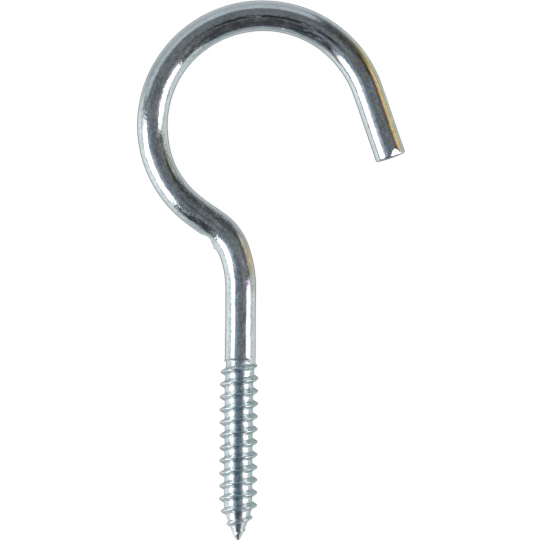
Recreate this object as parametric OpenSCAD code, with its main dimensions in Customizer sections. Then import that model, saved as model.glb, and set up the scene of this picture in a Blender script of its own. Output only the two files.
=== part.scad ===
// Screw hook: an open ring hook bent from one round steel wire, with a wood screw thread rolled on its end.
// It lies flat: +Y runs up the screw to the hook, +X points to the hook's open side and +Z is up.
// The origin is on the screw's axis, where the thread meets the plain shank. All sizes are in millimetres.

/* [Wire] */
// Diameter of the wire
wire_d = 6.8; // [5:0.1:9]
// Rounding of the sheared end's edge
cut_round = 0.3; // [0.1:0.05:1]
// Radius of that edge on the side where the shear rolled it over
roll_over_r = 0.7; // [0.4:0.1:2]
// Place of that side round the wire, in degrees from the outside of the ring towards +Z
roll_over_turn = 8; // [0:2:90]
// Length of the flat that the shear's blade pressed beside it
blade_flat_len = 1.6; // [0.5:0.1:3]
// Slope of that flat towards the sheared end, in degrees
blade_flat_slope = 12; // [5:1:30]
// Place of the flat round the wire, in degrees from the outside of the ring towards +Z
blade_flat_turn = 68; // [0:2:90]

/* [Shank and neck] */
// Length of the plain straight shank above the thread
shank_len = 15.9; // [8:0.1:40]
// Height of the collar that the thread rolling pushed up at the foot of the shank
collar_h = 0.15; // [0.05:0.05:0.4]
// Length over which the collar fades into the shank
collar_len = 0.9; // [0.4:0.1:2]
// Bevel where the collar steps down to the thread
collar_bevel = 0.3; // [0.1:0.05:0.5]
// Radius of the neck's slow bend, at the wire's centre
slow_bend_r = 25.5; // [15:0.5:60]
// Turn of the slow bend, in degrees
slow_bend_turn = 19.7; // [5:0.1:30]
// Radius of the neck's tight bend, at the wire's centre
tight_bend_r = 11.5; // [8:0.5:20]
// Turn of the tight bend, in degrees
tight_bend_turn = 35.4; // [20:0.1:50]
// Length of the straight between the neck and the ring
neck_straight = 4.7; // [2:0.1:12]

/* [Ring] */
// Radius of the ring's back half, at the wire's centre
back_r = 24.1; // [18:0.1:35]
// Turn of the ring's back half, in degrees
back_turn = 101.6; // [80:0.1:120]
// Radius of the ring's front half, at the wire's centre
front_r = 24.7; // [18:0.1:35]
// Turn of the ring's front half, in degrees
front_turn = 114.1; // [80:0.1:125]
// Length of the straight leg at the hook's open end
tip_len = 15.7; // [5:0.1:25]

/* [Bending tool's mark] */
// Depth of the dent that the bending pin left inside the neck
dent_depth = 0.35; // [0.2:0.05:1]
// Radius of the pin's edge
dent_r = 4.8; // [2:0.1:6]
// Distance of the dent past the end of the tight bend
dent_shift = -0.25; // [-1.5:0.05:1.5]
// Height of the lip of metal that the pin pushed up
lip_h = 0.3; // [0.1:0.05:0.6]
// Radius of the lip
lip_r = 1.2; // [0.8:0.1:2]
// Distance of the lip before the end of the tight bend, along the wire
lip_back = 3.9; // [3.5:0.1:5]

/* [Thread] */
// Length from the shank to the tip of the point
thread_len = 39.8; // [25:0.1:60]
// Advance of the thread in one turn
pitch = 2.82; // [2.4:0.02:3.6]
// Depth of the root below the wire's surface
root_step = 0.3; // [0.1:0.05:0.8]
// Height of the ridge above the root
ridge_h = 1.05; // [0.5:0.05:1.5]
// Width of the ridge at its foot
ridge_w = 1.6; // [1:0.05:2.2]
// Width of the ridge at its crest
crest_w = 0.4; // [0.2:0.05:0.8]
// Rise of the crest's middle above its edges
crest_rise = 0.12; // [0.05:0.01:0.3]
// Depth inside the shank at which the ridge starts
ridge_inside = 1.1; // [0.8:0.05:1.8]
// Place of the ridge's start round the screw, in degrees from +X
ridge_start = 90; // [0:5:360]
// Turn over which the ridge grows to its full height, in degrees
run_in = 470; // [180:10:720]

/* [Point] */
// Length of the conical point
point_len = 6.5; // [4:0.1:12]
// Diameter of the point's blunt tip
tip_d = 0.7; // [0.3:0.05:1.5]
// Length of the blunt tip that the ridge leaves bare
bare_len = 0.9; // [0.5:0.1:2]

/* [Hidden] */
$fn = 96;
steel = [0.76, 0.79, 0.81];
wire_r = wire_d / 2;
root_r = wire_r - root_step;
tip_r = tip_d / 2;

// Each run of the wire from the thread to the open end: its name, then a length with no turn or a radius
// and a turn. A turn is in degrees, positive to the left.
runs = [
    ["shank", shank_len, 0],
    ["slow bend", slow_bend_r, slow_bend_turn],
    ["tight bend", tight_bend_r, tight_bend_turn],
    ["neck straight", neck_straight, 0],
    ["back half", back_r, -back_turn],
    ["front half", front_r, -front_turn],
    ["leg", tip_len, 0],
];
// The slow bend and the ring's front half are a hair thinner than the rest of the wire and reach into it
// at both ends, so that they share no surface with their neighbours
slip = 0.01;
reach = 0.1;
thin_r = wire_r - slip;

// Steps of the thread: in one turn, over the run-in, over the whole ridge and over the point
turn_steps = 36;
grow_steps = run_in / 360 * turn_steps;
ridge_steps = floor((thread_len - bare_len + ridge_inside) / pitch * turn_steps);
fade_steps = (point_len - bare_len) / pitch * turn_steps;
// Length of the core that is buried in the shank, past the ridge's start
buried = ridge_inside + 0.8;
// Section of the ridge from the shank's side to the point's side: offset along the axis and height
ridge = [
    [-ridge_w / 2, 0],
    [-crest_w / 2, ridge_h - crest_rise],
    [0, ridge_h],
    [crest_w / 2, ridge_h - crest_rise],
    [ridge_w / 2, 0],
];
last = len(ridge) - 1;

// Place and heading [x, y, degrees] after one run that starts at a given place
function after(at, run) =
    run[2] == 0
        ? [at.x + run[1] * cos(at[2]), at.y + run[1] * sin(at[2]), at[2]]
        : let (
            side = sign(run[2]) * run[1],
            end = at[2] + run[2]
        ) [at.x + side * (sin(end) - sin(at[2])), at.y - side * (cos(end) - cos(at[2])), end];

// Place and heading at the start of run n, with the wire starting up the screw's axis
function place(n) = n == 0 ? [0, 0, 90] : after(place(n - 1), runs[n - 1]);

// Moves its children, drawn along +X, to the start of the named run
module at_run(name) {
    at = place(search([name], runs)[0]);
    translate([at.x, at.y, 0]) rotate(at[2]) children();
}

// Wire of radius r bent round a centre on its left (side 1) or its right (side -1).
// It leaves the origin along +X, or with a negative turn it arrives there along +X.
// The lead, in degrees, makes it longer at both ends.
module bend(bend_r, side, turn, r, lead = 0) {
    translate([0, side * bend_r, 0])
        rotate_extrude(angle = side * (turn + 2 * lead), start = -side * (90 + lead))
            translate([bend_r, 0]) circle(r);
}

// Thin bend that reaches into the wire before and after it
module thin_bend(bend_r, side, turn) {
    bend(bend_r, side, turn, thin_r, lead = reach / bend_r * 180 / PI);
}

// Plain shank along +X, turned from a profile with the collar at its foot
module shank() {
    rotate([0, 90, 0]) rotate_extrude()
        polygon([
            [0, 0],
            [wire_r + collar_h - collar_bevel, 0],
            [wire_r + collar_h, collar_bevel],
            [wire_r, collar_bevel + collar_len],
            [wire_r, shank_len],
            [0, shank_len],
        ]);
}

// Quarter of a disc with its centre at the origin
module quarter(r) {
    intersection() {
        circle(r);
        square(r);
    }
}

// Straight leg along +X up to the sheared end, turned from a profile with a rounded corner
module cropped_leg() {
    rotate([0, 90, 0]) rotate_extrude() {
        square([wire_r, tip_len - cut_round]);
        square([wire_r - cut_round, tip_len]);
        translate([wire_r - cut_round, tip_len - cut_round]) quarter(cut_round);
    }
}

// The corner that the blade rolled over: what lies outside a round edge across the wire, on the +Y side
module rolled_off() {
    translate([tip_len - roll_over_r, wire_r - roll_over_r, 0])
        linear_extrude(height = 2 * wire_d, center = true)
            difference() {
                square(roll_over_r + reach);
                quarter(roll_over_r);
            }
}

// What lies above the flat that the blade pressed, on the +Y side of the leg
module above_flat() {
    translate([tip_len - blade_flat_len, wire_r, -wire_d])
        rotate(-blade_flat_slope)
            translate([-wire_r, 0, 0]) cube([blade_flat_len + wire_d, wire_d, 2 * wire_d]);
}

// The leg with its sheared end
module open_leg() {
    difference() {
        cropped_leg();
        rotate([roll_over_turn, 0, 0]) rolled_off();
        rotate([blade_flat_turn, 0, 0]) above_flat();
    }
}

// The pin whose edge left its mark inside the neck, beside the end of the tight bend
module bending_pin() {
    translate([dent_shift, wire_r - dent_depth + dent_r, 0])
        cylinder(h = 2 * wire_d, r = dent_r, center = true);
}

// The lip that the pin pushed up, on the inside of the tight bend that arrives at the origin
module lip() {
    translate([0, tight_bend_r, 0])
        rotate(-90 - lip_back / tight_bend_r * 180 / PI)
            translate([tight_bend_r - wire_r - lip_h + lip_r, 0, 0]) sphere(lip_r);
}

// Tight bend, neck straight and the ring's back half with the pin's dent. The straight runs along +X.
module neck_and_back_half() {
    difference() {
        union() {
            bend(tight_bend_r, 1, -tight_bend_turn, wire_r);
            rotate([0, 90, 0]) cylinder(h = neck_straight, r = wire_r);
            translate([neck_straight, 0, 0]) bend(back_r, -1, back_turn, wire_r);
        }
        bending_pin();
    }
    lip();
}

// Radius of the screw's core at a distance z from the shank: a cylinder, then the conical point
function core_r(z) = tip_r + (root_r - tip_r) * min((thread_len - z) / point_len, 1);

// Height of the ridge at step j, as a share of its full height: it grows, runs and fades
function share(j) = min(j / grow_steps, 1, (ridge_steps - j) / fade_steps);

// Point i of the ridge's section at step j of the helix. At both ends the section shrinks to one point.
function ridge_point(j, i) =
    let (
        angle = ridge_start + j * 360 / turn_steps,
        z = j * pitch / turn_steps - ridge_inside + ridge[i][0] * share(j),
        r = core_r(z) + ridge[i][1] * share(j)
    ) [r * cos(angle), r * sin(angle), z];

// Ring of points round the core at a distance z from the shank
function core_ring(z, r) = [
    for (j = [0 : turn_steps - 1])
        let (angle = ridge_start + j * 360 / turn_steps) [r * cos(angle), r * sin(angle), z]
];

// Numbers of the points: the ridge's start and end, its sections, the two rings and their middles
function ridge_no(j, i) = j == 0 ? 0 : j == ridge_steps ? 1 : 2 + (j - 1) * len(ridge) + i;
ring_no = 2 + (ridge_steps - 1) * len(ridge);
function top_no(j) = ring_no + j % turn_steps;
function low_no(j) = ring_no + turn_steps + j % turn_steps;
top_mid = ring_no + 2 * turn_steps;
low_mid = top_mid + 1;

// Two triangles that fill a four-sided face, less any that has shrunk to a line
function quad(a, b, c, d) = [if (a != b && b != c) [a, b, c], if (c != d && d != a && a != c) [a, c, d]];

// The threaded core and its point as one closed surface along +Z.
// Turns of the ridge are joined by strips of the bare root, and the two ends by fans.
module thread() {
    wrap = turn_steps;
    first_low = ridge_steps - wrap;
    points = concat(
        [ridge_point(0, 0), ridge_point(ridge_steps, 0)],
        [for (j = [1 : ridge_steps - 1], i = [0 : last]) ridge_point(j, i)],
        core_ring(-buried, root_r),
        core_ring(thread_len - tip_r / 2, tip_r),
        [[0, 0, -buried], [0, 0, thread_len]]
    );
    ridge_faces = [
        for (j = [0 : ridge_steps - 1], i = [0 : last - 1])
            each quad(ridge_no(j, i), ridge_no(j, i + 1), ridge_no(j + 1, i + 1), ridge_no(j + 1, i))
    ];
    root_faces = [
        for (j = [0 : first_low - 1])
            each quad(
                ridge_no(j, last), ridge_no(j + wrap, 0), ridge_no(j + 1 + wrap, 0), ridge_no(j + 1, last)
            )
    ];
    top_faces = [
        for (j = [0 : wrap - 2]) each quad(top_no(j), ridge_no(j, 0), ridge_no(j + 1, 0), top_no(j + 1)),
        [top_no(wrap - 1), ridge_no(wrap - 1, 0), 0],
        [ridge_no(wrap - 1, 0), ridge_no(wrap, 0), 0],
        [top_no(wrap - 1), 0, top_no(0)],
        for (j = [0 : wrap - 1]) [top_mid, top_no(j), top_no(j + 1)]
    ];
    low_faces = [
        for (j = [first_low + 1 : ridge_steps - 1])
            each quad(ridge_no(j, last), low_no(j), low_no(j + 1), ridge_no(j + 1, last)),
        [ridge_no(first_low, last), 1, ridge_no(first_low + 1, last)],
        [1, low_no(first_low + 1), ridge_no(first_low + 1, last)],
        [1, low_no(first_low), low_no(first_low + 1)],
        for (j = [0 : wrap - 1]) [low_mid, low_no(j + 1), low_no(j)]
    ];
    polyhedron(points, concat(ridge_faces, root_faces, top_faces, low_faces), convexity = 10);
}

// The whole hook, one piece of steel
module hook() {
    color(steel) {
        rotate([90, 0, 0]) thread();
        at_run("shank") shank();
        at_run("slow bend") thin_bend(slow_bend_r, 1, slow_bend_turn);
        at_run("neck straight") neck_and_back_half();
        at_run("front half") thin_bend(front_r, -1, front_turn);
        at_run("leg") open_leg();
    }
}

hook();
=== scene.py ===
import math

import bpy
import numpy as np
from mathutils import Matrix, Vector


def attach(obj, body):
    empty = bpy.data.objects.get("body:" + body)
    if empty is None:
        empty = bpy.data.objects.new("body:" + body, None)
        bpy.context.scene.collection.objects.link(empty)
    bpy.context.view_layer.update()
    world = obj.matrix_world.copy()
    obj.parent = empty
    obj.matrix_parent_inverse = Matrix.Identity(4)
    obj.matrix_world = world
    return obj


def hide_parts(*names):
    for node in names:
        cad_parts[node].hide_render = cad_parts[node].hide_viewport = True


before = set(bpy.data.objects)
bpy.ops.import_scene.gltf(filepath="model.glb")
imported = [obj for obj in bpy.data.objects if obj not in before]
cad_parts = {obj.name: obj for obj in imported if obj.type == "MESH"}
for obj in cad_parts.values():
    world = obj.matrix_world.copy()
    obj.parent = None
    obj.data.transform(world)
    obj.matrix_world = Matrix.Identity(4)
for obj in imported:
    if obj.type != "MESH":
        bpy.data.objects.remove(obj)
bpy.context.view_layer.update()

# The wire: one length of round steel wire, cut from a coil and bent cold round pins.
# Two bends make the offset neck, two long ones make the open ring, and a straight leg ends it.
# Sizes are in millimetres and degrees, from the foot of the plain shank, and metres come in last.
MM = 0.001
wire_r = 3.4
screw_len = 39.8
screw_shift = 0.22
shift_len = 7.0
shank_len = 15.9
neck_straight = 4.7
leg_len = 15.7
spring_len = 2.4
spare_len = 4.0


def arc(radius, turn):
    """One bend as its length along the wire and its turn: the length is the radius times the turn
    in radians."""
    return radius * math.radians(abs(turn)), turn


wire_runs = (
    (screw_len + shank_len, 0),
    arc(25.5, 19.7),
    arc(11.5, 35.4),
    (neck_straight, 0),
    arc(24.1, -101.6),
    arc(24.7, -114.1),
    (leg_len, 0),
)
run_ends = np.cumsum([length for length, turn in wire_runs]) - screw_len
wire_end = run_ends[-1]
neck_end = run_ends[2]


def wire_line(along):
    """Points and headings of the wire's centre line at distances `along` from the shank's foot.
    Curvature is constant in each run and averaged over a short window, as steel springs off the pin.
    The heading is the running sum of curvature, and the point is the running sum of its direction.
    Below the shank the line shifts sideways, because the thread was rolled off the wire's axis."""
    step = 0.02
    fine = np.arange(-screw_len - spare_len, wire_end + spare_len, step)
    bends = [math.radians(turn) / length for length, turn in wire_runs] + [0.0]
    curvature = np.array(bends)[np.searchsorted(run_ends, fine)]
    window = np.hanning(int(spring_len / step))
    curvature = np.convolve(curvature, window / window.sum(), mode="same")
    heading = np.cumsum(curvature) * step
    shank_mid = np.searchsorted(fine, shank_len / 2)
    heading += math.pi / 2 - heading[shank_mid]
    x = np.cumsum(np.cos(heading)) * step
    y = np.cumsum(np.sin(heading)) * step
    x -= x[shank_mid]
    y += fine[shank_mid] - y[shank_mid]
    x -= screw_shift * np.sin(math.pi / 2 * np.clip(-fine / shift_len, 0, 1))
    return np.interp(along, fine, x), np.interp(along, fine, y), np.interp(along, fine, heading)


# The screw thread: rolled between flat dies on the wire's end, right handed, with a conical point.
# The ridge grows out of the shank's foot over more than a turn and fades on the point.
pitch = 2.82
root_r = 3.1
ridge_h = 1.12
ridge_half_w = 0.80
ridge_bulge = 1.25
crest_round = 0.16
foot_round = 0.12
ridge_inside = 1.1
run_in = 470 / 360 * pitch
point_len = 7.8
point_bulge = 1.35
tip_r = 0.35
bare_len = 0.9
thick_core_h = 0.13
thick_core_end = 3.6
thick_core_fade = 0.5
collar_h = 0.13
collar_len = 0.45
collar_reach = 1.4
edge_len = 0.30
join_round = 0.03


def soft_max(a, b, width):
    """The larger of two heights, with the corner between them rounded over `width`."""
    return 0.5 * (a + b + np.sqrt((a - b) ** 2 + width ** 2))


def thread_skin(depth, angle):
    """Radius of the threaded end at `depth` below the shank's foot and `angle` round the wire.
    The core is a cylinder and a slightly bulging cone. On it sits a ridge whose height falls off as one
    minus a power of the distance from its crest. The crest's depth rises by one pitch a turn. The core
    starts a little thicker on the right."""
    turns = (angle - math.pi / 2) / (2 * math.pi)
    crest = turns * pitch - ridge_inside
    offset = (depth - crest + pitch / 2) % pitch - pitch / 2
    grown = depth - offset + ridge_inside
    left = np.clip((screw_len - bare_len - (grown - ridge_inside)) / (point_len - bare_len), 0, 1)
    share = np.clip(np.minimum(grown / run_in, left ** (1 / point_bulge)), 0.02, 1)
    cone = 1 - (1 - np.clip((screw_len - depth) / point_len, 0, 1)) ** point_bulge
    core = tip_r + (root_r - tip_r) * cone
    fading = np.clip((thick_core_end - depth) / thick_core_fade, 0, 1)
    thicker = thick_core_h * (0.5 + 0.5 * np.cos(angle)) * fading
    away = np.sqrt(offset ** 2 + crest_round ** 2) - crest_round
    slope = (away / (ridge_half_w - crest_round) / (0.3 + 0.7 * share)) ** ridge_bulge
    ridge = soft_max(ridge_h * share * (1 - slope), 0, foot_round * share)
    return core + thicker + ridge


def shank_edge(angle):
    """Depth at which the plain shank stops: level on the front, and lower where the ridge starts."""
    degrees = [0, 30, 62, 180, 360]
    depths = [0.75, 0.6, -0.15, 0.05, 0.75]
    return np.interp(np.degrees(angle) % 360, degrees, depths)


# The tools' marks: the bending pin left a shallow dent inside the neck and pushed up a lip beside it, and the
# ring's pin pressed the wire a little flatter on the inside past the neck. The shear that cropped the open
# end rolled its edge over on one side and left the other sharp.
dent_at = neck_end - 0.25
dent_depth = 0.38
dent_edge = 0.06
pin_r = 4.8
lip_at = neck_end - 3.9
lip_h = 0.46
lip_len = 0.50
lip_tail = 2.6
lip_swell = 0.4
press_at = 48.0
press_depth = 0.24
press_len = 6.0
cut_round = 0.42
roll_side = math.radians(112)
outer_side = math.radians(172)
roll_len = 1.6
roll_slope = 0.21
outer_round = 0.65
crown_h = 0.15
far_off = 99.0
waves = ((2, 31, 0.020), (2, 13, 0.010), (3, 9, 0.006), (1, 6, 0.006), (3, 4.3, 0.003))


def mark_dent(radius, along, angle):
    """Radius after the pin: a round cut across the wire whose floor lies a dent's depth under the skin,
    beside it a bump that falls off as a bell curve, more slowly on the shank's side, and a long shallow
    bell curve taken off the ring's inside."""
    inward = -np.cos(angle)
    reach = wire_r - dent_depth + pin_r
    floor = reach - np.sqrt(np.maximum(pin_r ** 2 - (along - dent_at) ** 2, 0.01))
    cut = np.where(inward > 0.05, floor / np.maximum(inward, 0.05), far_off)
    radius = -soft_max(-radius, -cut, dent_edge)
    behind = along - lip_at
    bell = np.exp(-(behind / lip_len) ** 2 / 2)
    swell = lip_swell * np.exp(-(behind / lip_tail) ** 2 / 2) + (1 - lip_swell) * bell
    beside = np.exp(-(wire_r * (angle - math.pi) / lip_len) ** 2 / 2)
    pressed = np.exp(-((along - press_at) / press_len) ** 2 / 2) * np.clip(np.cos(angle), 0, 1) ** 2
    return radius + lip_h * np.where(behind < 0, swell, bell) * beside - press_depth * pressed


def roll_over(radius, along, angle):
    """Radius near the sheared end: on the blade's side a flat slopes down into the cut, and on the
    outside of the hook the cut's edge is a quarter round."""
    back = wire_end - along
    flat = wire_r - roll_slope * np.clip(roll_len - back, 0, roll_len)
    reach = np.clip(1 - back / outer_round, 0, 1)
    quarter = wire_r - outer_round * (1 - np.sqrt(1 - reach ** 2))
    for floor, side, width in ((flat, roll_side, 0.05), (quarter, outer_side, 0.03)):
        towards = np.cos(angle - side)
        cut = np.where((towards > 0.2) & (back < roll_len), floor / np.maximum(towards, 0.2), far_off)
        radius = -soft_max(-radius, -cut, width)
    return radius


def waver(along, angle):
    """Slow unevenness of the drawn and bent wire: a few waves along it that turn into lobes round it,
    a few hundredths high."""
    rng = np.random.default_rng(4)
    total = np.zeros(np.broadcast(along, angle).shape)
    for lobes, length, height in waves:
        phase, twist = rng.uniform(0, 2 * math.pi, 2)
        total += height * np.sin(2 * math.pi * along / length + phase) * np.cos(lobes * angle + twist)
    return total


def skin(along, angle):
    """Radius of the whole piece: plain wire, whose collar falls off as a bell curve, then the thread,
    marks and waver."""
    depth = -along
    edge = shank_edge(angle)
    above = np.clip((edge - depth) / collar_len, 0, None)
    plain = wire_r + collar_h * np.exp(-above ** 2 * 3)
    past = np.clip((depth - edge) / edge_len, 0, 1)
    plain = plain - (plain - tip_r) * past ** 2 * (3 - 2 * past)
    thread = thread_skin(np.clip(depth, -ridge_inside - pitch, screw_len), angle)
    radius = soft_max(plain, thread, join_round)
    radius = np.where(depth < edge - collar_reach, wire_r, radius)
    radius = mark_dent(radius, along, angle)
    radius = roll_over(radius, along, angle)
    return radius + waver(along, angle) * np.clip(radius / wire_r, 0, 1)


# The skin as one closed mesh: rings along the centre line, closed at the point and at the sheared end.
# Ring rows under the thread are nudged so that every crest runs through points of the mesh.
columns = 96
rows_a_pitch = 32
row_step = pitch / rows_a_pitch
wire_step = 0.28
crest_depth = -pitch / 4 - ridge_inside
thread_top = 1.6
end_rows = 12
corner_rows = 4
face_rings = np.array([0.85, 0.6, 0.3])
tip_rings = np.array([0.6, 0.9])


def ring_rows():
    """Distance along the wire and share of the radius for each ring, from the point to the sheared end."""
    first = math.ceil((-thread_top - crest_depth) / row_step)
    last = math.floor((screw_len - 0.2 - crest_depth) / row_step)
    thread = -(crest_depth + row_step * np.arange(last, first - 1, -1))
    wire_rows = int((wire_end - roll_len - thread_top) / wire_step)
    wire = np.linspace(thread[-1] + wire_step, wire_end - roll_len, wire_rows)
    end = np.linspace(wire_end - roll_len, wire_end - cut_round, end_rows + 1)[1:]
    turn = np.linspace(0, math.pi / 2, corner_rows + 1)[1:]
    corner = wire_end - cut_round * (1 - np.sin(turn))
    corner_share = 1 - cut_round / wire_r * (1 - np.cos(turn))
    tip = np.array([-screw_len + 0.03, -screw_len + 0.1])
    face_share = corner_share[-1] * face_rings
    crown = wire_end + crown_h * (1 - face_rings ** 2)
    along = np.concatenate([tip, thread, wire, end, corner, crown])
    full = np.ones(len(thread) + len(wire) + len(end))
    share = np.concatenate([tip_rings, full, corner_share, face_share])
    nudged = np.zeros(len(along))
    nudged[len(tip):len(tip) + len(thread)] = 1
    return along, share, nudged


def hook_surface():
    """Vertices, triangles and unbent coordinates of the hook: ring points are the centre line's point
    plus the radius times the cosine of the angle to the right and its sine upwards."""
    along, share, nudged = (row[:, None] for row in ring_rows())
    column = np.arange(columns)[None, :]
    angle = 2 * math.pi * column / columns
    shift = column * rows_a_pitch / columns
    along = along - nudged * (shift - np.round(shift)) * row_step
    radius = skin(along, angle) * share
    x, y, heading = wire_line(along)
    across, up = radius * np.cos(angle), radius * np.sin(angle)
    points = np.stack([x + np.sin(heading) * across, y - np.cos(heading) * across, up + 0 * x], -1)
    unbent = np.stack([along + 0 * x, wire_r * np.cos(angle) + 0 * x, wire_r * np.sin(angle) + 0 * x], -1)
    poles_along = np.array([-screw_len, wire_end + crown_h])
    pole_x, pole_y, _ = wire_line(poles_along)
    poles = np.stack([pole_x, pole_y, 0 * pole_x], -1)
    rings = len(along)
    number = np.arange(rings * columns).reshape(rings, columns)
    a, c = number[:-1], number[1:]
    b, d = np.roll(a, -1, 1), np.roll(c, -1, 1)
    start, end = rings * columns, rings * columns + 1
    first, last = number[0], number[-1]
    triangles = np.concatenate([
        np.stack([a, c, b], -1).reshape(-1, 3),
        np.stack([b, c, d], -1).reshape(-1, 3),
        np.stack([np.full(columns, start), first, np.roll(first, -1)], -1),
        np.stack([last, np.full(columns, end), np.roll(last, -1)], -1),
    ])
    points = np.concatenate([points.reshape(-1, 3), poles])
    unbent = np.concatenate([unbent.reshape(-1, 3), np.stack([poles_along, 0 * pole_x, 0 * pole_x], -1)])
    return points, triangles, unbent


def smooth_mesh(name, points, triangles):
    """A smooth shaded mesh in metres from millimetre points and triangles."""
    mesh = bpy.data.meshes.new(name)
    mesh.from_pydata((points * MM).tolist(), [], triangles.tolist())
    mesh.polygons.foreach_set("use_smooth", np.ones(len(triangles), bool))
    mesh.update()
    return mesh


hook_points, hook_triangles, hook_unbent = hook_surface()
hook_mesh = smooth_mesh("screw_hook", hook_points, hook_triangles)
drawn = hook_mesh.attributes.new("drawn", "FLOAT_VECTOR", "POINT")
drawn.data.foreach_set("vector", hook_unbent.ravel())
hook = bpy.data.objects.new("screw_hook", hook_mesh)
bpy.context.scene.collection.objects.link(hook)


# The finish: bright zinc plating with its grain over the drawn wire. Its film shines straw on the leg, straw
# and violet above the shank, olive inside the ring and blue on the thread. The olive is also darkened as
# painted shade, and on the thread's top a paler band, a darker side and a blue strip along the front are
# painted light and shade. The drawing die left one dark line of dashes on top. Patterns are laid on the
# unbent wire, in millimetres.
bump_depth = 0.05
etched_rough = 0.45
line_side = 0.2


def put(tree, kind, sockets=(), **settings):
    """Adds one node with its settings. `sockets` pairs an input's name with a value or a node's output."""
    node = tree.nodes.new(kind)
    for key, value in settings.items():
        setattr(node, key, value)
    for name, value in dict(sockets).items():
        if isinstance(value, bpy.types.NodeSocket):
            tree.links.new(value, node.inputs[name])
        else:
            node.inputs[name].default_value = value
    return node


def calc(operation, *values):
    """Result of one math node on outputs and numbers, in the first output's tree."""
    tree = next(value.id_data for value in values if isinstance(value, bpy.types.NodeSocket))
    return put(tree, "ShaderNodeMath", enumerate(values), operation=operation).outputs[0]


def times(first, *others):
    """Product of outputs and numbers."""
    for other in others:
        first = calc("MULTIPLY", first, other)
    return first


def span(value, start, stop, low=0.0, high=1.0, **settings):
    """Maps an output from start..stop to low..high, and holds it there beyond."""
    sockets = {"Value": value, "From Min": start, "From Max": stop, "To Min": low, "To Max": high}
    return put(value.id_data, "ShaderNodeMapRange", sockets, **settings).outputs["Result"]


def within(value, start, full, wane, stop):
    """Rises from 0 at `start` to 1 at `full`, and falls from `wane` to 0 at `stop`."""
    return times(span(value, start, full), span(value, wane, stop, 1, 0))


def blend(share, one, other, **settings):
    """Mix of two colours, or with a blend_type the second laid on the first."""
    sockets = {"Factor": share, 6: one, 7: other}
    return put(share.id_data, "ShaderNodeMix", sockets, data_type="RGBA", **settings).outputs[2]


def ramp(value, *stops):
    """Colour ramp over a value, from pairs of a place and a colour."""
    node = put(value.id_data, "ShaderNodeValToRGB", {"Fac": value})
    elements = node.color_ramp.elements
    while len(elements) < len(stops):
        elements.new(0.5)
    for element, (place, colour) in zip(elements, stops):
        element.position = place
        element.color = (*colour, 1)
    return node.outputs["Color"]


def grain(coordinates, stretch, scale, detail, rough=0.5):
    """Noise that is `stretch` times as long along the wire as across it, with `scale` cells a millimetre."""
    tree = coordinates.id_data
    laid = put(tree, "ShaderNodeVectorMath", {0: coordinates, 1: (1 / stretch, 1, 1)}, operation="MULTIPLY")
    sockets = {"Vector": laid.outputs[0], "Scale": scale, "Detail": detail, "Roughness": rough}
    return put(tree, "ShaderNodeTexNoise", sockets).outputs["Fac"]


def wire_film_and_shade(along, across, top_share, film, patches):
    """Colour of the plain wire: cool grey with oily flecks on its top side, and straw on the leg's outer
    side, whose tone follows the distance across the wire plus noise. Four single patches come on top; the
    last, an olive film inside the ring, is made darker as painted shade."""
    oiled = ramp(film, (0.35, (0.78, 0.40, 1.00)), (0.43, (0.50, 0.68, 1.00)), (0.50, (0.78, 0.84, 0.84)),
                 (0.56, (0.74, 0.95, 0.54)), (0.64, (1.00, 0.60, 0.50)))
    leg = span(along, 113, 122)
    tinted = times(top_share, span(across, -0.2, 0.9, 1, 0.15), span(leg, 0, 1, 0.25, 0.90))
    colour = blend(tinted, (0.76, 0.81, 0.83, 1), oiled)
    uneven = calc("MULTIPLY_ADD", patches, 1.6, calc("MULTIPLY_ADD", film, 1.3, across))
    straw = ramp(span(uneven, -1.80, -0.05), (0.08, (0.72, 0.77, 0.74)), (0.24, (0.86, 0.83, 0.56)),
                 (0.46, (0.96, 0.83, 0.42)), (0.70, (1.00, 0.64, 0.36)), (0.92, (0.66, 0.52, 0.60)))
    outside = times(span(across, -1.5, -1.8), span(along, wire_end - 1.6, wire_end - 0.9, 1, 0))
    colour = blend(times(leg, outside), colour, straw)
    straw_flecks = span(film, 0.44, 0.56, 0, 0.9)
    film_and_shade_patches = (
        # colour, share, reach along the wire, reach across it
        ((0.52, 0.54, 0.48), 0.65, (14, 17, 23, 29), (1.75, 2.15, 4, 5)),
        ((0.84, 0.63, 0.36), straw_flecks, (18, 21, 24, 28), (1.6, 2.1, 4, 5)),
        ((0.72, 0.56, 0.98), 0.70, (15, 16, 17.5, 19), (1.1, 1.5, 1.9, 2.3)),
        # The olive inside the ring is darkened as painted shade.
        ((0.38, 0.42, 0.33), 0.90, (45, 50, 52, 58), (1.3, 1.8, 2.3, 2.8)),
    )
    for tone, share, lengthwise, crosswise in film_and_shade_patches:
        mask = times(within(along, *lengthwise), share, within(across, *crosswise))
        colour = blend(mask, colour, (*tone, 1))
    return colour


def thread_film_and_painted_light(threaded, colour, across, up, patches):
    """Colour with the thread's laid on it: a teal film, and on top of it painted light and shade: paler
    towards the top as painted light, darker on one side as painted shade, and blue along the very front as a
    painted reflection."""
    teal = ramp(patches, (0.40, (0.68, 0.78, 0.85)), (0.60, (0.77, 0.84, 0.83)))
    colour = blend(threaded, colour, teal)
    # Painted light and shade on the thread: a paler top, a darker side and a blue strip along the front.
    painted_light_layers = (
        # share of the layer, its colour
        (span(up, 2.2, 2.9, 0, 0.95), (0.96, 1.00, 1.00, 1)),
        (span(across, 2.0, 2.8, 0, 0.75), (0.54, 0.66, 0.66, 1)),
        (times(span(up, 3.22, 3.37), span(across, -0.2, 1.0, 0.95, 0.75)), (0.56, 0.72, 0.84, 1)),
    )
    for share, tone in painted_light_layers:
        colour = blend(times(threaded, share), colour, tone)
    return colour


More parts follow.
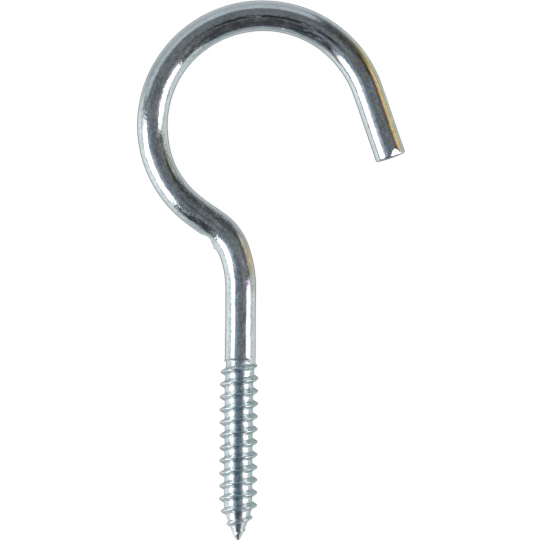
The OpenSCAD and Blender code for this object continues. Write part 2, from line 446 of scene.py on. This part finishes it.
def die_line(along, across, up, streaks):
    """Share of the drawing die's dark line: just beside the top of the wire, broken into dashes by streaky
    noise, strong on the ring and half as strong on the neck."""
    off_line = calc("ABSOLUTE", calc("SUBTRACT", across, line_side))
    dashes = times(span(off_line, 0.14, 0.46, 1, 0), span(streaks, 0.38, 0.48, 0, 0.95))
    on_ring = times(span(along, 76, 90, 0.08, 1), span(along, 114, 120, 1, 0))
    on_neck = times(within(along, 28, 31, 41, 45), 0.5)
    return times(dashes, calc("MAXIMUM", on_ring, on_neck), span(up, 0, 1))


def zinc_plating():
    """Metallic zinc: cool grey with faint film colours and painted light and shade, and a bump of grain and
    draw marks that is stronger where bending stretched or scuffed the skin. A rough lobe shows through in
    streaky speckle. The rolled thread and the crushed foot of the shank are duller than the drawn wire."""
    material = bpy.data.materials.new("bright_zinc")
    material.use_nodes = True
    tree = material.node_tree
    tree.nodes.clear()
    coordinates = put(tree, "ShaderNodeAttribute", attribute_name="drawn").outputs["Vector"]
    fine = grain(coordinates, 1.9, 2.8, detail=2.0, rough=0.6)
    marks = grain(coordinates, 9, 2.4, detail=2.5)
    speckle = grain(coordinates, 4.0, 1.6, detail=3)
    mottle = grain(coordinates, 1.6, 2.0, detail=2.5)
    streaks = grain(coordinates, 7, 1.5, detail=3, rough=0.6)
    patches = grain(coordinates, 2.5, 0.35, detail=3)
    film = grain(coordinates, 1.6, 2.5, detail=2.5, rough=0.7)
    unbent = put(tree, "ShaderNodeSeparateXYZ", {0: coordinates})
    along, across, up = (unbent.outputs[axis] for axis in "XYZ")

    # On top the skin shows grain and film, apart from the calm inside of the ring; its mottled tone there is
    # painted speckle of reflected light.
    calm = times(span(along, 60, 76, 0, 0.6), span(along, 106, 114, 1, 0), span(across, -0.5, -1.1))
    top_share = times(span(up, 1.4, 2.7, 0.3, 1), span(calm, 0, 1, 1, 0))
    threaded = span(along, -0.9, -0.1, 1, 0)
    colour = wire_film_and_shade(along, across, top_share, film, patches)
    colour = thread_film_and_painted_light(threaded, colour, across, up, patches)
    colour = blend(die_line(along, across, up, streaks), colour, (0.12, 0.12, 0.13, 1))
    # Mottled tone on the top side: painted speckle of reflected light.
    tone = times(span(mottle, 0.35, 0.65, 0.74, 1.20), span(patches, 0.35, 0.65, 0.90, 1.08))
    colour = blend(top_share, colour, tone, blend_type="MULTIPLY")

    # Roughness and bump: crushed foot, thread, bent neck and the scuffed ring beside it.
    crushed = times(within(along, -2.6, -1.4, 0.3, 0.8), span(across, -0.6, 0.8))
    gloss = calc("MULTIPLY_ADD", crushed, 0.34, span(patches, 0.3, 0.7, 0.05, 0.10))
    gloss = calc("MULTIPLY_ADD", threaded, 0.22, gloss)
    scuffed = times(within(along, 54, 60, 68, 78), 0.7)
    bent = calc("MAXIMUM", within(along, 22, 30, 43, 48), scuffed)
    peel = times(calc("MULTIPLY_ADD", bent, 0.5, 0.3), span(threaded, 0, 1, 1, 0.12))
    peel = calc("MULTIPLY_ADD", crushed, 0.25, peel)
    height = calc("MULTIPLY_ADD", marks, 0.6, fine)
    bump = put(tree, "ShaderNodeBump", {"Height": height, "Strength": peel, "Distance": bump_depth * MM})
    metal = {"Base Color": colour, "Metallic": 1.0, "Normal": bump.outputs["Normal"]}
    bright = put(tree, "ShaderNodeBsdfPrincipled", {**metal, "Roughness": gloss})
    etched = put(tree, "ShaderNodeBsdfPrincipled", {**metal, "Roughness": etched_rough})
    dull = times(span(speckle, 0.42, 0.64, 0, 0.26), top_share, span(across, 0, 1, 1, 1.15))
    lobes = {0: dull, 1: bright.outputs["BSDF"], 2: etched.outputs["BSDF"]}
    surface = put(tree, "ShaderNodeMixShader", lobes)
    put(tree, "ShaderNodeOutputMaterial", {"Surface": surface.outputs[0]})
    return material


hook_mesh.materials.append(zinc_plating())
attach(hook, "root")
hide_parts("hook")


# The floor: a plain white board on which the hook lies. It touches the first full crests of the thread
# and the far side of the ring, so it slopes by half a degree in the hook's own frame.
pivot_gap = 20
floor_half = 2000.0
card_white = 0.9
card_glow = 1.03
glow_share = 0.9


def lying_plane(points):
    """Height at the origin and slope along the screw of the plane that touches the hook from below:
    the slope is the steepest that keeps all points well ahead of the lowest crest above it."""
    lowest = points[np.argmin(points[:, 2])]
    ahead = points[points[:, 1] > lowest[1] + pivot_gap]
    slope = np.min((ahead[:, 2] - lowest[2]) / (ahead[:, 1] - lowest[1]))
    return lowest[2] - slope * lowest[1], slope


floor_height, floor_slope = lying_plane(hook_points)
corners = np.array([[-1, -1], [1, -1], [1, 1], [-1, 1]]) * floor_half
floor_points = np.column_stack([corners, floor_height + floor_slope * corners[:, 1]])
floor_mesh = bpy.data.meshes.new("floor")
floor_mesh.from_pydata((floor_points * MM).tolist(), [], [(0, 1, 2, 3)])
floor = bpy.data.objects.new("floor", floor_mesh)
bpy.context.scene.collection.objects.link(floor)
floor.visible_glossy = False


def white_board():
    """White card: it glows white for the camera and shows a tenth of the hook's soft shadow."""
    material = bpy.data.materials.new("white_board")
    material.use_nodes = True
    tree = material.node_tree
    tree.nodes.clear()
    card = put(tree, "ShaderNodeBsdfDiffuse", {"Color": (card_white, card_white, card_white, 1)})
    glow = put(tree, "ShaderNodeEmission", {"Color": (1, 1, 1, 1), "Strength": card_glow})
    share = times(put(tree, "ShaderNodeLightPath").outputs["Is Camera Ray"], glow_share)
    mixed = put(tree, "ShaderNodeMixShader", {0: share, 1: card.outputs[0], 2: glow.outputs[0]})
    put(tree, "ShaderNodeOutputMaterial", {"Surface": mixed.outputs[0]})
    return material


floor_mesh.materials.append(white_board())

# The studio: soft boxes left and right of the hook's lower half, a pale wall behind its top, a dark ceiling
# and the pale floor, all far away. Each is a patch of sky between two heights and round one direction.
# Angles are in degrees: `down` is measured from straight overhead, `round` from the hook's open side.
dim_room = (0.158, 0.172, 0.178, 1)
studio = (
    # colour, strength, down from and to, round its middle and half width, softness down and round
    ((0.96, 0.93, 0.97), 0.190, 4, 44, -14, 26, 12, 14),
    ((0.56, 0.77, 1.00), 0.280, 12, 46, 203, 27, 12, 15),
    ((0.66, 0.82, 1.00), 0.110, 26, 80, -125, 30, 8, 14),
    ((0.95, 0.91, 0.98), 0.066, 20, 82, -78, 36, 6, 8),
    ((0.85, 0.92, 1.00), 0.040, 34, 78, 238, 16, 6, 4),
    ((0.88, 0.96, 1.00), 0.570, 58, 95, 113, 53, 6, 5),
    ((0.87, 0.96, 1.00), 0.440, 88, 190, 0, 180, 4, 1),
    ((0.88, 0.96, 1.00), 0.520, 96, 150, 90, 58, 8, 10),
    ((0.64, 0.82, 1.00), 0.105, 74, 92, -82, 34, 4, 8),
    ((0.94, 1.00, 1.00), 0.750, 84, 150, -12, 26, 5, 12),
    ((0.94, 1.00, 1.00), 0.900, 91, 150, 198, 28, 4, 14),
    ((0.94, 1.00, 1.00), 0.760, 66, 96, 186, 12, 6, 5),
    ((0.76, 0.88, 1.00), 0.360, 24, 60, 203, 24, 14, 8),
    ((0.80, 0.90, 1.00), 0.620, 24, 60, 199.4, 4.5, 14, 4.5),
    ((0.96, 0.97, 1.00), 0.420, 30, 60, -21, 10, 10, 6),
    ((0.97, 0.99, 1.00), 4.000, 48.7, 80, -16.2, 16.4, 10, 5),
    ((0.94, 1.00, 1.00), 0.700, 76, 100, -30, 22, 5, 5),
    ((0.97, 0.99, 1.00), 4.000, 47.2, 69, 199.4, 20.0, 10, 6),
    ((0.97, 0.99, 1.00), 4.000, 60, 80, 204.5, 15.5, 8, 4),
    ((1.00, 0.95, 0.82), 0.640, 77, 103, 18, 20, 6, 6),
    ((0.85, 0.92, 1.00), 0.095, 36, 92, 48, 14, 8, 6),
    ((0.84, 1.00, 0.56), 0.050, 53, 70, 38, 14, 4, 6),
    ((1.00, 0.93, 0.90), 0.130, 53, 70, 17, 8, 4, 5),
    ((0.85, 0.92, 1.00), 0.200, 88, 106, 50, 16, 5, 8),
    ((0.94, 0.99, 1.00), 0.720, 130, 190, 0, 180, 8, 1),
    ((0.90, 0.96, 1.00), 0.170, 148, 190, 0, 180, 13, 1),
)


def studio_light():
    """World: the patches of the studio for reflections, and plain white for the camera and the floor.
    Each patch eases in and out over its softness on both sides of its edges, and covers those before it."""
    world = bpy.data.worlds.new("studio")
    bpy.context.scene.world = world
    world.use_nodes = True
    tree = world.node_tree
    tree.nodes.clear()
    direction = put(tree, "ShaderNodeTexCoord").outputs["Generated"]
    down = calc("ARCCOSINE", put(tree, "ShaderNodeSeparateXYZ", {0: direction}).outputs["Z"])
    flat = put(tree, "ShaderNodeVectorMath", {0: direction, 1: (1, 1, 0)}, operation="MULTIPLY")
    flat = put(tree, "ShaderNodeVectorMath", {0: flat.outputs[0]}, operation="NORMALIZE").outputs[0]

    def ease(value, start, stop):
        """Smooth rise from 0 at `start` to 1 at `stop`."""
        return span(value, start, stop, interpolation_type="SMOOTHSTEP")

    room = put(tree, "ShaderNodeRGB")
    room.outputs[0].default_value = dim_room
    colour = room.outputs[0]
    for tone, strength, low, high, middle, half, soft, side in studio:
        inner, outer = math.radians(max(half - side, 0)), math.radians(half + side)
        low, high, soft, middle = (math.radians(value) for value in (low, high, soft, middle))
        mask = times(ease(down, low - soft, low + soft), ease(down, high + soft, high - soft))
        if half < 180:
            aim = (math.cos(middle), math.sin(middle), 0)
            facing = put(tree, "ShaderNodeVectorMath", {0: flat, 1: aim}, operation="DOT_PRODUCT")
            mask = times(mask, ease(facing.outputs["Value"], math.cos(outer), math.cos(inner)))
        lit = [channel * strength for channel in tone] + [1]
        colour = blend(mask, colour, lit)
    path = put(tree, "ShaderNodeLightPath")
    plain = calc("MAXIMUM", path.outputs["Is Camera Ray"], path.outputs["Is Diffuse Ray"])
    colour = blend(plain, colour, (1, 1, 1, 1))
    sky = put(tree, "ShaderNodeBackground", {"Color": colour, "Strength": 1.0})
    put(tree, "ShaderNodeOutputWorld", {"Surface": sky.outputs[0]})


studio_light()

# The camera looks straight down on the hook from far off through a long lens.
# The photograph's frame is 120 mm of the floor each way, turned by half a degree.
frame_mm = 120.0
frame_px = 540
foot_px = (240.2, 361.0)
camera_roll = math.radians(0.46)
camera_height = 1500.0
px = frame_mm / frame_px
right_mm = (frame_px / 2 - foot_px[0]) * px
up_mm = (foot_px[1] - frame_px / 2) * px
camera_data = bpy.data.cameras.new("camera")
camera_data.sensor_width = 36.0
camera_data.lens = camera_data.sensor_width * camera_height / frame_mm
camera = bpy.data.objects.new("camera", camera_data)
turned = Matrix.Rotation(camera_roll, 4, "Z")
camera.matrix_world = turned @ Matrix.Translation(Vector((right_mm, up_mm, camera_height)) * MM)
camera_data.clip_end = 50.0
bpy.context.scene.collection.objects.link(camera)
bpy.context.scene.camera = camera
bpy.context.scene.view_settings.view_transform = "Standard"
